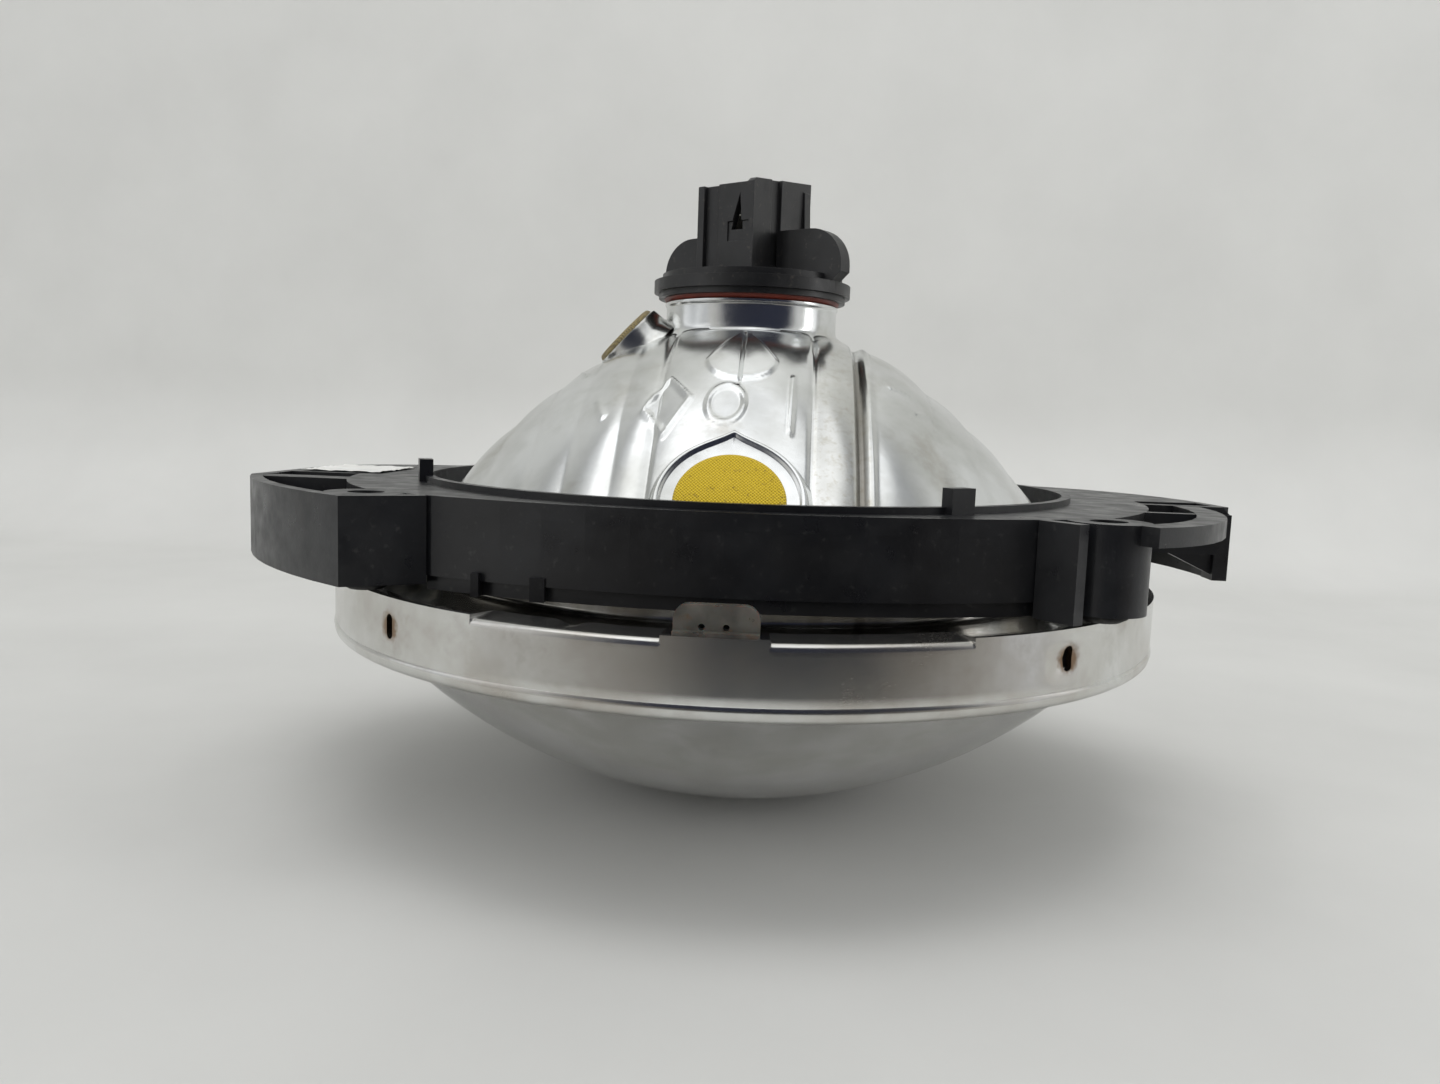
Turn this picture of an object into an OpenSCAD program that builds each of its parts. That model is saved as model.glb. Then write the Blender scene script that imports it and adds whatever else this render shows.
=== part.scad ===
// Round vehicle fog lamp lying on its lens: optical axis on Z, lens vertex at the origin.
// The mounting ears lie along X, and the front of the carrier faces -Y.

/* [Lens and bezel] */
// Outer diameter of the polished bezel
bezel_od = 117; // [116:0.5:118]
// Height of the bezel's lower edge
bezel_bottom = 24; // [23.8:0.1:24.2]
// Height of the bezel's upper edge
bezel_top = 32.8; // [32.6:0.1:33]
// Sheet thickness of the bezel
bezel_t = 0.7; // [0.6:0.05:0.8]
// Outer radius of curvature of the lens
lens_r = 70; // [69:0.5:71]
// Radius of the flat spot at the lens's vertex, on which the lamp rests
lens_flat_r = 3; // [2.5:0.5:3.5]
// Thickness of the lens
lens_t = 3; // [2.5:0.5:3]

/* [Reflector] */
// Height at which the bowl's parabola would close
bowl_apex = 68.2; // [68:0.1:68.4]
// Four times the focal length of the bowl
bowl_4f = 71.6; // [71:0.1:72]
// Outer radius at which the bowl turns down into its skirt
bowl_rim_r = 45; // [44.5:0.1:45]
// Sheet thickness of the reflector
bowl_t = 0.8; // [0.6:0.1:0.8]
// Outer radius of the neck that holds the bulb
neck_r = 12.5; // [12.4:0.1:12.6]
// Height of the top of the neck
neck_top = 70.8; // [70.7:0.1:70.8]

/* [Bulb] */
// Radius of the bulb's gripping flange
flange_r = 14.4; // [14:0.1:14.8]
// Radius of the spigot that enters the neck
spigot_r = 9.9; // [9.8:0.05:9.95]
// Turn of the bulb and its socket about the lamp's axis
bulb_angle = -33.5; // [-40:0.5:-25]
// Size of the socket along the grip wings
socket_w = 9.9; // [9.5:0.1:10.5]
// Size of the socket across the grip wings
socket_d = 14.5; // [14:0.1:15]
// Height of the socket's mouth
socket_top = 87.2; // [86.5:0.1:88]
// Rise of the socket's latch side over its mouth, at the rear
latch_rise = 2; // [1:0.1:2.2]
// Reach of the grip wings from the axis
wing_reach = 15.8; // [15:0.1:16.5]

/* [Carrier] */
// Half of the carrier's width over its ears
ear_reach = 68; // [67:0.5:69]
// Height of the carrier's deck
deck_top = 44.4; // [44.2:0.1:44.6]
// Height of the front wall's lower edge
skirt_bottom = 33.4; // [33.3:0.1:33.6]
// Wall thickness of the moulding
wall = 1.6; // [1.4:0.1:1.8]
// Distance of the fixing bosses from the YZ plane
boss_x = 42.5; // [42:0.1:43]
// Distance of the fixing bosses from the XZ plane
boss_y = 40; // [39.5:0.1:40.5]
// Radius of the screw holes in the fixing bosses
boss_hole_r = 2.1; // [1.9:0.05:2.3]

/* [Aim] */
// Height of the tilt axis
pivot_z = 37.5; // [37.3:0.1:37.7]
// Radius of the pivot pins
pivot_r = 2; // [1.9:0.05:2.1]
// Distance of the adjusting screw from the XZ plane
aim_y = 51; // [50.8:0.1:51.2]
// Radius of the adjusting screw
aim_r = 2.5; // [2.4:0.05:2.5]
// Radial clearance of the turning pins and screws
running_gap = 0.05; // [0.02:0.01:0.08]

/* [Hidden] */
$fn = 96;
eps = 0.01;

bezel_r = bezel_od / 2;
clip_count = 3;
clip_start = -90;
clip_half_angle = 5.5;
crimp_half_angle = 27;
crimp_inner_r = 54.8;
slot_angles = [-131, -49, 90];

lip_h = 0.6;
lip_r = neck_r + 0.25;
flange_z = 31.3;
seal_top = 30.5;
bead_outer_r = 57.3;
bead_inner_r = 54.2;
bead_top = 32;
lens_rim_r = 57.4;
lens_rim_bottom = bezel_bottom + bezel_t + 0.1;
lens_rim_top = 28.2;
lens_dome_r = 52.4;
lens_center_z = sqrt(lens_r * lens_r - lens_flat_r * lens_flat_r);

vent_center = [0, -41.2, 44.9];
vent_lean = 38;
vent_r = 6.5;
rear_vent_center = [-18, -2.9, 65.7];
rear_vent_lean = 47;
rear_vent_turn = 189;
rear_vent_r = 5;
vent_t = 0.8;

seat_inner_r = spigot_r + 0.15;
seat_bottom = 67.5;
seat_top = 69.2;
lug_r = 11;
lug_w = 3.4;
lug_top = seat_bottom - 0.1;
lug_bottom = 65.7;
unlock_turn = 50;

flange_bottom = 71.4;
flange_top = 73.9;
tier_r = 13.2;
tier_top = 74.9;
spigot_bottom = 64.5;
o_ring_r = 0.67;
o_ring_mid_r = 12.2;
o_ring_z = neck_top + o_ring_r + 0.02;

collar_r = 7;
collar_bottom = 60.5;
capsule_r = 5;
capsule_t = 0.8;
capsule_bottom = 43.6;
capsule_top = 62;
post_top = 63.2;
focus_z = 50.3;
filament_l = 4.4;
filament_r = 0.7;
terminal_y = 3.4;
terminal_w = 2.8;
terminal_t = 0.8;
terminal_top = 83.5;
terminal_bottom = 62.5;

opening_r = 45.8;
opening_y = 0.8;
deck_t = 2;
deck_bottom = deck_top - deck_t;
front_arc_r = 90;
front_y = -48.5;
front_half = 35;
rear_r = 56.8;
rear_skirt_bottom = 36.2;
rear_boss_bottom = 35.6;
front_bore_bottom = 36.7;
buffer_stem_r = 1.7;
buffer_stem_h = 1.8;
clip_room_top = 37.6;
boss_r = 4.7;
ear_bottom = 34.2;
band_step = 1.7;

pin_x0 = 45.9;
pin_l = 7.5;
lug_x = 47.4;
lug_t = 1.2;
lug_head_r = 4;
block_x0 = 50.2;
block_x1 = 53.4;
block_half = 6;
foot_outer = 53.6;
rivet_r = 1.2;

nut_half = 3;
nut_head_x = 8.4;
nut_head_y = 6.8;
nut_top = 38.4;
nut_bottom = 34.4;
shelf_z = 35.7;

// Points of an arc of radius r about c, from angle a0 to a1.
function arc(c, r, a0, a1, n = 12) =
    [for (i = [0:n]) c + r * [cos(a0 + (a1 - a0) * i / n), sin(a0 + (a1 - a0) * i / n)]];

// Points of a curve from p0 to p2 that leans towards p1.
function bend(p0, p1, p2, n = 8) =
    [for (i = [0:n]) let (t = i / n) (1 - t) * (1 - t) * p0 + 2 * t * (1 - t) * p1 + t * t * p2];

// Unit normal of the polyline p at point i, scaled to keep a wall's thickness at its bends.
function side(p, i) =
    let (a = p[max(i - 1, 0)], b = p[min(i + 1, len(p) - 1)], d = b - a,
         u = p[min(i + 1, len(p) - 1)] - p[i], v = p[i] - p[max(i - 1, 0)],
         n = [-d.y, d.x] / norm(d),
         w = norm(u) == 0 ? v : u,
         k = abs(n * [-w.y, w.x] / norm(w)))
    n / max(k, 0.5);

// Outline of a wall of thickness t that follows the polyline p.
function wall_outline(p, t) =
    concat([for (i = [0:len(p) - 1]) p[i] + side(p, i) * t / 2],
           [for (i = [len(p) - 1:-1:0]) p[i] - side(p, i) * t / 2]);

function bowl_z(r) = bowl_apex - r * r / bowl_4f;

front_arc_c = [0, front_y + front_arc_r];
front_turn = asin(front_half / front_arc_r);
front_corner_y = front_arc_c.y - front_arc_r * cos(front_turn);

module wall_strip(p, z0, z1, t = wall) {
    translate([0, 0, z0]) linear_extrude(z1 - z0) polygon(wall_outline(p, t));
}

module ring(r0, r1, z0, z1) {
    rotate_extrude() translate([r0, z0]) square([r1 - r0, z1 - z0]);
}

module ring_sector(r0, r1, z0, z1, a0, a1) {
    rotate([0, 0, a0]) rotate_extrude(angle = a1 - a0) translate([r0, z0]) square([r1 - r0, z1 - z0]);
}

module at_clips() {
    for (i = [0:clip_count - 1]) rotate([0, 0, clip_start + i * 360 / clip_count]) children();
}

module both_sides() {
    children();
    mirror([1, 0, 0]) children();
}

module at_vent() {
    translate(vent_center) rotate([90 - vent_lean, 0, 0]) children();
}

module at_rear_vent() {
    translate(rear_vent_center) rotate([0, 0, rear_vent_turn]) rotate([0, rear_vent_lean, 0]) children();
}

// ---- Lamp ----

module bowl_outside() {
    n = 18;
    rotate_extrude() polygon(concat(
        [[0, seal_top], [bead_outer_r, seal_top], [bead_outer_r, bead_top], [bead_inner_r, bead_top],
         [bead_inner_r, flange_z], [bowl_rim_r, flange_z]],
        [for (i = [n:-1:0]) let (r = neck_r + (bowl_rim_r - neck_r) * i / n) [r, bowl_z(r)]],
        [[neck_r, neck_top - lip_h], [lip_r, neck_top - lip_h], [lip_r, neck_top], [0, neck_top]]
    ));
}

module bowl_inside() {
    n = 18;
    r_top = neck_r - bowl_t;
    r_low = bowl_rim_r - bowl_t;
    rotate_extrude() polygon(concat(
        [[0, seal_top - 1], [r_low, seal_top - 1]],
        [for (i = [n:-1:0]) let (r = r_top + (r_low - r_top) * i / n) [r, bowl_z(r) - 1.25 * bowl_t]],
        [[r_top, neck_top + 1], [0, neck_top + 1]]
    ));
}

module reflector() {
    color("silver") difference() {
        union() {
            bowl_outside();
            at_rear_vent() translate([0, 0, -4.5]) cylinder(r = rear_vent_r + 0.6, h = 4.5);
        }
        bowl_inside();
        at_vent() translate([0, 0, -6]) cylinder(r = 3, h = 9);
        at_rear_vent() translate([0, 0, -8]) cylinder(r = 2.5, h = 10);
    }
}

module bulb_seat() {
    color("gainsboro") difference() {
        ring(seat_inner_r, neck_r - bowl_t, seat_bottom, seat_top);
        for (i = [0:2]) rotate([0, 0, bulb_angle + unlock_turn + i * 120])
            translate([seat_inner_r - 1, -lug_w / 2 - 0.3, seat_bottom - 1])
                cube([lug_r - seat_inner_r + 1.2, lug_w + 0.6, 5]);
    }
}

module bezel_ring() {
    corner = 1.4;
    c = [bezel_r - corner, bezel_bottom + corner];
    color("lightsteelblue") {
        difference() {
            rotate_extrude() polygon(concat(
                [[52.8, bezel_bottom + bezel_t], [52.8, bezel_bottom]],
                arc(c, corner, -90, 0, 8),
                [[bezel_r, bezel_top], [bezel_r - bezel_t, bezel_top]],
                arc(c, corner - bezel_t, 0, -90, 8)
            ));
            for (a = slot_angles) rotate([0, 0, a]) translate([bezel_r - 3, 0, 29.4]) rotate([0, 90, 0]) {
                for (s = [-0.8, 0.8]) translate([s, 0, 0]) cylinder(r = 0.65, h = 6);
                translate([-0.8, -0.65, 0]) cube([1.6, 1.3, 6]);
            }
        }
        at_clips() for (s = [0, 1]) mirror([0, s, 0])
            ring_sector(crimp_inner_r, bezel_r - bezel_t / 2, bezel_top - bezel_t, bezel_top,
                        clip_half_angle, crimp_half_angle);
    }
}

module lens() {
    color("lightcyan", 0.4) {
        intersection() {
            difference() {
                translate([0, 0, lens_center_z]) sphere(lens_r, $fn = 128);
                translate([0, 0, lens_center_z]) sphere(lens_r - lens_t, $fn = 128);
            }
            cylinder(r = lens_dome_r, h = 40);
        }
        rotate_extrude() polygon([[lens_dome_r - 1.4, lens_rim_bottom], [lens_rim_r - 1.2, lens_rim_bottom],
                                  [lens_rim_r, lens_rim_bottom + 1.4], [lens_rim_r, lens_rim_top],
                                  [lens_dome_r - 1.4, lens_rim_top]]);
    }
}

module lens_seal() {
    color("dimgray") ring(53.2, 57.2, lens_rim_top, seal_top);
}

module lens_clips() {
    clip_x = 55.4;
    clip_h = 3.8;
    clip_corner = 1.6;
    clip_w = 8.8;
    color("whitesmoke") at_clips() difference() {
        union() {
            translate([clip_x, -clip_w / 2, bead_top]) cube([1.2, clip_w, clip_h - clip_corner]);
            translate([clip_x, -clip_w / 2 + clip_corner, bead_top])
                cube([1.2, clip_w - 2 * clip_corner, clip_h]);
            for (s = [-1, 1])
                translate([clip_x, s * (clip_w / 2 - clip_corner), bead_top + clip_h - clip_corner])
                    rotate([0, 90, 0]) cylinder(r = clip_corner, h = 1.2);
            translate([clip_x, -clip_w / 2, bead_top]) cube([2.2, clip_w, 1.1]);
        }
        for (y = [-1.5, 1])
            translate([clip_x - 1, y, bead_top + 1.5]) rotate([0, 90, 0]) cylinder(r = 0.35, h = 4);
    }
}

module front_vent_membrane() {
    color("goldenrod") at_vent() cylinder(r = vent_r, h = vent_t);
}

module rear_vent_membrane() {
    color("darkkhaki") at_rear_vent() cylinder(r = rear_vent_r, h = vent_t);
}

module pivot_lugs() {
    color("darkgray") both_sides() {
        difference() {
            union() {
                translate([lug_x, 0, pivot_z]) rotate([0, 90, 0]) cylinder(r = lug_head_r, h = lug_t);
                translate([lug_x, -lug_head_r, flange_z]) cube([lug_t, 2 * lug_head_r, pivot_z - flange_z]);
                translate([lug_x, -7, flange_z]) cube([foot_outer - lug_x, 14, lug_t]);
            }
            translate([lug_x - 1, 0, pivot_z]) rotate([0, 90, 0]) cylinder(r = pivot_r + 0.7, h = 4);
            for (y = [-5.4, 5.4]) translate([51, y, flange_z - 1]) cylinder(r = rivet_r, h = 4);
        }
    }
}

module pivot_bushes() {
    color("ivory") both_sides() translate([lug_x - 0.6, 0, pivot_z]) rotate([0, 90, 0]) difference() {
        union() {
            cylinder(r = pivot_r + 0.7, h = 2.4);
            translate([0, 0, 1.8]) cylinder(r = 3.4, h = 0.6);
        }
        translate([0, 0, -1]) cylinder(r = pivot_r + running_gap, h = 5);
    }
}

module nut_bracket() {
    color("darkgray") difference() {
        union() {
            translate([-7, 46, flange_z]) cube([14, foot_outer - 46, lug_t]);
            for (x = [-7, 7 - lug_t]) translate([x, 46.6, flange_z]) cube([lug_t, 7, shelf_z - flange_z]);
            translate([-7, 46.6, shelf_z]) cube([14, 7, lug_t]);
        }
        translate([-nut_half, aim_y - nut_half, shelf_z - 1]) cube([2 * nut_half, 2 * nut_half, 5]);
        translate([0, aim_y, flange_z - 1]) cylinder(r = 3.4, h = 3);
        for (x = [-4.8, 4.8]) translate([x, 48, flange_z - 1]) cylinder(r = rivet_r / 2, h = 4);
    }
}

module adjuster_nut() {
    color("white") difference() {
        union() {
            translate([-nut_half, aim_y - nut_half, nut_bottom])
                cube([2 * nut_half, 2 * nut_half, nut_top - nut_bottom]);
            translate([-nut_head_x / 2, aim_y - nut_head_y / 2, shelf_z + lug_t])
                cube([nut_head_x, nut_head_y, nut_top - shelf_z - lug_t]);
        }
        translate([0, aim_y, nut_bottom - 1]) cylinder(r = aim_r + 0.45, h = 8);
    }
}

module lug_rivets() {
    color("lightgray") {
        both_sides() for (y = [-5.4, 5.4]) translate([51, y, flange_z]) {
            cylinder(r = rivet_r, h = lug_t);
            translate([0, 0, lug_t]) cylinder(r1 = 1.9, r2 = 1.3, h = 0.7);
        }
        for (x = [-4.8, 4.8]) translate([x, 48, flange_z]) {
            cylinder(r = rivet_r / 2, h = lug_t);
            translate([0, 0, lug_t]) cylinder(r1 = 1, r2 = 0.7, h = 0.5);
        }
    }
}

// ---- Carrier ----

front_path = arc(front_arc_c, front_arc_r - wall / 2, -90 - front_turn, -90 + front_turn, 14);
left_rear_curve = bend([-ear_reach + wall / 2, 6], [-66, 20], [-51, 23.5]);
left_ear_path = concat([[-front_half, front_corner_y]],
                       bend([-43, -46], [-60, -33.5], [-ear_reach + wall / 2, -17]), left_rear_curve);
right_ear_path = concat(bend([45.2, -44.6], [58, -37], [61.4, -16]), [[61.8, -9]]);
right_rear_path = bend([ear_reach - wall / 2, -8], [66.5, 20], [48.5, 28]);

module carrier_deck() {
    translate([0, 0, deck_bottom]) linear_extrude(deck_t) intersection() {
        circle(r = rear_r, $fn = 128);
        translate(front_arc_c) circle(r = front_arc_r, $fn = 128);
    }
    translate([0, opening_y, 0]) ring(opening_r, opening_r + 1.2, deck_bottom, deck_top + 0.8);
    for (a = [-56, -158, 72]) rotate([0, 0, a])
        translate([opening_r - 0.2, -1.7, deck_bottom]) cube([1.8, 3.4, 47.4 - deck_bottom]);
}

module carrier_walls() {
    wall_strip(front_path, skirt_bottom + band_step, deck_top - 1.1);
    translate([0, 0.25, 0]) wall_strip(front_path, deck_top - 1.1 - eps, deck_top);
    translate([0, 0.8, 0]) wall_strip(front_path, skirt_bottom, skirt_bottom + band_step + eps);
    translate([-28.6, front_y + 3.6, skirt_bottom]) cube([0.9, 3, band_step + 1]);
    translate([-21.5, front_y + 2, skirt_bottom]) cube([1.7, 3, band_step + 1]);
    ring_sector(rear_r - wall - 0.4, rear_r - 0.4, rear_skirt_bottom, deck_top - 1, 24, 156);
    both_sides() translate([block_x0, -block_half, 34.4])
        cube([block_x1 - block_x0, 2 * block_half, deck_bottom - 34.4 + eps]);
    translate([0, aim_y, deck_bottom]) cylinder(r = 4.8, h = 4);
}

module left_ear() {
    wall_strip(left_ear_path, ear_bottom, deck_top);
    translate([0, 0, deck_bottom]) linear_extrude(deck_t)
        polygon(concat([[-50, -8], [-ear_reach + wall / 2, -8]], left_rear_curve));
    translate([-66, -20, deck_bottom]) cube([20, 4.6, deck_t]);
    translate([-ear_reach + wall / 2, -8, ear_bottom]) cube([16, wall, deck_top - ear_bottom]);
    translate([-ear_reach + 3, -18.5, ear_bottom + 2]) cube([14, wall, deck_bottom - ear_bottom]);
}

module right_ear() {
    wall_strip([[front_half, front_corner_y], [38.4, -45.6]], skirt_bottom, deck_top);
    wall_strip(right_ear_path, deck_bottom - 0.2, deck_top, 3.4);
    wall_strip(right_rear_path, ear_bottom, deck_top);
    translate([0, 0, deck_bottom]) linear_extrude(deck_t)
        polygon(concat([[50, -3]], [for (p = right_rear_path) if (p.y > -5) p]));
    // the fin deepens towards its thick outer edge
    translate([0, -6.6, 0]) rotate([90, 0, 0]) linear_extrude(2)
        polygon([[54, 40.6], [ear_reach - 2, ear_bottom + 0.8], [ear_reach - 2, ear_bottom],
                 [ear_reach, ear_bottom], [ear_reach, deck_top - 1],
                 [ear_reach - 1, deck_top], [54, deck_top]]);
    translate([ear_reach - 2, -9.4, ear_bottom]) cube([2, 4, deck_top - 1 - ear_bottom]);
    translate([46, -24, deck_bottom - 3]) cube([14.8, wall, deck_top - deck_bottom + 3]);
}

module carrier() {
    color("black") difference() {
        union() {
            difference() {
                union() {
                    carrier_deck();
                    carrier_walls();
                    left_ear();
                    right_ear();
                }
                translate([0, opening_y, 30]) cylinder(r = opening_r, h = 30);
            }
            both_sides() translate([boss_x, -boss_y, ear_bottom])
                cylinder(r = boss_r, h = deck_top - ear_bottom);
            both_sides() translate([boss_x, boss_y, rear_boss_bottom])
                cylinder(r = boss_r, h = deck_top - rear_boss_bottom);
        }
        both_sides() {
            translate([boss_x, boss_y, 20]) cylinder(r = boss_hole_r, h = 40);
            translate([boss_x, -boss_y, front_bore_bottom]) cylinder(r = boss_hole_r, h = 20);
            translate([boss_x, -boss_y, ear_bottom - 1]) cylinder(r = buffer_stem_r, h = 1 + buffer_stem_h);
        }
        // room for the two rear lens clips
        for (a = [30, 150]) rotate([0, 0, a]) translate([53, -6.5, 30]) cube([8, 13, clip_room_top - 30]);
        translate([0, aim_y, 30]) cylinder(r = aim_r + running_gap, h = 30);
        both_sides() translate([40, 0, pivot_z]) rotate([0, 90, 0]) cylinder(r = pivot_r, h = 20);
    }
}

module rim_buffers() {
    color("dimgray") both_sides() translate([boss_x, -boss_y, 0]) {
        translate([0, 0, ear_bottom - 0.5]) cylinder(r = buffer_stem_r, h = 0.5 + buffer_stem_h);
        translate([0, 0, 33.1]) cylinder(r1 = 2, r2 = 2.9, h = 0.5);
        translate([0, 0, 33.6]) cylinder(r = 2.9, h = ear_bottom - 33.6);
    }
}

module pivot_pins() {
    color("silver") both_sides()
        translate([pin_x0, 0, pivot_z]) rotate([0, 90, 0]) cylinder(r = pivot_r, h = pin_l);
}

module ear_label() {
    color("white") translate([-66, -6, deck_top]) cube([12, 16, 0.15]);
}

module adjuster_screw() {
    color("silver") translate([0, aim_y, 0]) difference() {
        union() {
            translate([0, 0, 34.3]) cylinder(r = aim_r, h = 12.2);
            translate([0, 0, deck_bottom + 4.1]) cylinder(r = 4, h = 3);
        }
        for (a = [0, 90]) rotate([0, 0, a]) translate([-2.6, -0.5, deck_bottom + 5.4]) cube([5.2, 1, 3]);
    }
}

module adjuster_clip() {
    color("gray") translate([0, aim_y, 0]) ring(aim_r, 3.6, deck_bottom - 1, deck_bottom - 0.1);
}

// ---- Bulb ----

module on_bulb() {
    rotate([0, 0, bulb_angle]) children();
}

module bulb_base() {
    color("dimgray") on_bulb() difference() {
        union() {
            ring(0, flange_r, flange_bottom + 0.8, flange_top);
            ring(0, flange_r - 0.7, flange_bottom, flange_bottom + 0.8);
            ring(0, tier_r, flange_top, tier_top);
            ring(0, spigot_r, spigot_bottom, flange_bottom);
            grip_wings();
            for (i = [0:2]) rotate([0, 0, i * 120]) translate([spigot_r - 1, -lug_w / 2, lug_bottom])
                cube([lug_r - spigot_r + 1, lug_w, lug_top - lug_bottom]);
        }
        for (s = [-1, 1]) terminal_slot(s);
        ring(o_ring_mid_r - o_ring_r, o_ring_mid_r + o_ring_r, flange_bottom - 1, o_ring_z + o_ring_r);
        translate([0, 0, spigot_bottom - 1]) cylinder(r = collar_r - 1, h = 3);
    }
}

module terminal_slot(s) {
    translate([-terminal_w / 2 - 0.05, s * terminal_y - terminal_t / 2 - 0.05, 50])
        cube([terminal_w + 0.1, terminal_t + 0.1, 30]);
}

module grip_wings() {
    wing_t = 2.4;
    wing_top = 81.2;
    corner = 5.2;
    both_sides() translate([0, wing_t / 2, 0]) rotate([90, 0, 0])
        linear_extrude(wing_t) polygon(concat(
            [[socket_w / 2, flange_top - 1], [wing_reach - 1.8, flange_top - 1],
             [wing_reach - 1.4, flange_top], [wing_reach, flange_top + 1.2]],
            arc([wing_reach - corner, wing_top - corner], corner, 0, 90, 10),
            [[socket_w / 2, wing_top]]
        ));
}

module connector_socket() {
    t = 1.2;
    color("dimgray") on_bulb() difference() {
        union() {
            translate([-socket_w / 2, -socket_d / 2, tier_top])
                cube([socket_w, socket_d, socket_top - tier_top]);
            latch_side(t);
        }
        translate([-socket_w / 2 + t, -socket_d / 2 + t, tier_top + 1.8])
            cube([socket_w - 2 * t, socket_d - 2 * t, 20]);
        translate([-socket_w / 2 + 1.2, -socket_d / 2 - 1, tier_top + 0.9]) cube([2.5, 1.7, 20]);
        latch_window();
        translate([socket_w / 2 - 0.6, -socket_d / 2 + 4.4, tier_top + 1.4]) cube([1.6, 2.4, 20]);
        for (s = [-1, 1]) terminal_slot(s);
    }
}

// The latch side's wall rises towards the rear, and a buttress runs down from it to the tier.
module latch_side(t) {
    translate([socket_w / 2 - t, 0, 0]) rotate([90, 0, 90]) linear_extrude(t)
        polygon([[-socket_d / 2, socket_top - 1], [socket_d / 2, socket_top - 1],
                 [socket_d / 2, socket_top + latch_rise],
                 [-socket_d / 2 + 0.6, socket_top + 0.5], [-socket_d / 2, socket_top]]);
    translate([socket_w / 2, socket_d / 2 - 0.6, 0]) rotate([90, 0, 0]) linear_extrude(1.6)
        polygon([[-t / 2, tier_top], [1.6, tier_top], [0.6, tier_top + 6],
                 [0.3, socket_top + 0.5], [-t / 2, socket_top + 0.5]]);
}

// A shallow frame with an upright triangular slit through the wall.
module latch_window() {
    translate([socket_w / 2 - 4.4, -socket_d / 2 - 1, 79.2]) cube([3.6, 1.25, 2.7]);
    translate([socket_w / 2 - 3.9, -socket_d / 2 + 3, 80.8]) rotate([90, 0, 0]) linear_extrude(4)
        polygon([[0, 0], [1.9, 0], [1.5, 4.6]]);
}

module bulb_o_ring() {
    color("orangered") rotate_extrude() translate([o_ring_mid_r, o_ring_z]) circle(r = o_ring_r, $fn = 24);
}

module terminal(s) {
    color("gainsboro") on_bulb()
        translate([-terminal_w / 2, s * terminal_y - terminal_t / 2, terminal_bottom])
            cube([terminal_w, terminal_t, terminal_top - terminal_bottom]);
}

module terminal_live() {
    terminal(1);
}

module terminal_earth() {
    terminal(-1);
}

module bulb_collar() {
    color("silver") on_bulb() difference() {
        ring(capsule_r + 0.1, collar_r, collar_bottom, spigot_bottom);
        for (s = [-1, 1]) terminal_slot(s);
    }
}

module glass_capsule() {
    color("aliceblue", 0.4) {
        difference() {
            union() {
                translate([0, 0, capsule_bottom + capsule_r])
                    cylinder(r = capsule_r, h = capsule_top - capsule_bottom - capsule_r);
                translate([0, 0, capsule_bottom + capsule_r]) sphere(capsule_r, $fn = 48);
            }
            translate([0, 0, capsule_bottom + capsule_r]) cylinder(r = capsule_r - capsule_t, h = 10);
            translate([0, 0, capsule_bottom + capsule_r]) sphere(capsule_r - capsule_t, $fn = 48);
            for (s = [-1, 1]) translate([0, s * 2.2, 50]) cylinder(r = 0.3, h = 20);
        }
    }
}

module capsule_cap() {
    color("black") difference() {
        translate([0, 0, capsule_bottom + capsule_r]) sphere(capsule_r + 0.25, $fn = 48);
        translate([0, 0, capsule_bottom + capsule_r]) sphere(capsule_r, $fn = 48);
        translate([-10, -10, 46]) cube(20);
    }
}

module filament() {
    color("gray") translate([0, 0, focus_z - filament_l / 2]) cylinder(r = filament_r, h = filament_l);
}

module filament_supports() {
    wire_r = 0.3;
    post_y = 2.2;
    coil_bottom = focus_z - filament_l / 2;
    coil_top = focus_z + filament_l / 2;
    color("lightgray") {
        translate([0, post_y, coil_bottom - 0.8]) cylinder(r = wire_r, h = post_top - coil_bottom + 0.8);
        translate([0, -post_y, coil_top]) cylinder(r = wire_r, h = post_top - coil_top);
        translate([0, post_y, coil_bottom - 0.5]) rotate([90, 0, 0]) cylinder(r = wire_r, h = post_y);
        translate([0, 0, coil_top + wire_r]) rotate([90, 0, 0]) cylinder(r = wire_r, h = post_y);
        translate([0, 0, coil_bottom - 0.8]) cylinder(r = wire_r, h = 0.8);
    }
}

reflector();
bulb_seat();
bezel_ring();
lens();
lens_seal();
lens_clips();
front_vent_membrane();
rear_vent_membrane();
pivot_lugs();
pivot_bushes();
nut_bracket();
adjuster_nut();
lug_rivets();
carrier();
rim_buffers();
pivot_pins();
ear_label();
adjuster_screw();
adjuster_clip();
bulb_base();
connector_socket();
bulb_o_ring();
terminal_live();
terminal_earth();
bulb_collar();
glass_capsule();
capsule_cap();
filament();
filament_supports();
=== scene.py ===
"""Round vehicle fog lamp lying on its lens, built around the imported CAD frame.
Lengths in the code are millimetres, with Z up, X to the lamp's right and -Y to its front."""
import math

import bmesh
import bpy
import numpy as np
from mathutils import Matrix, Vector


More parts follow.
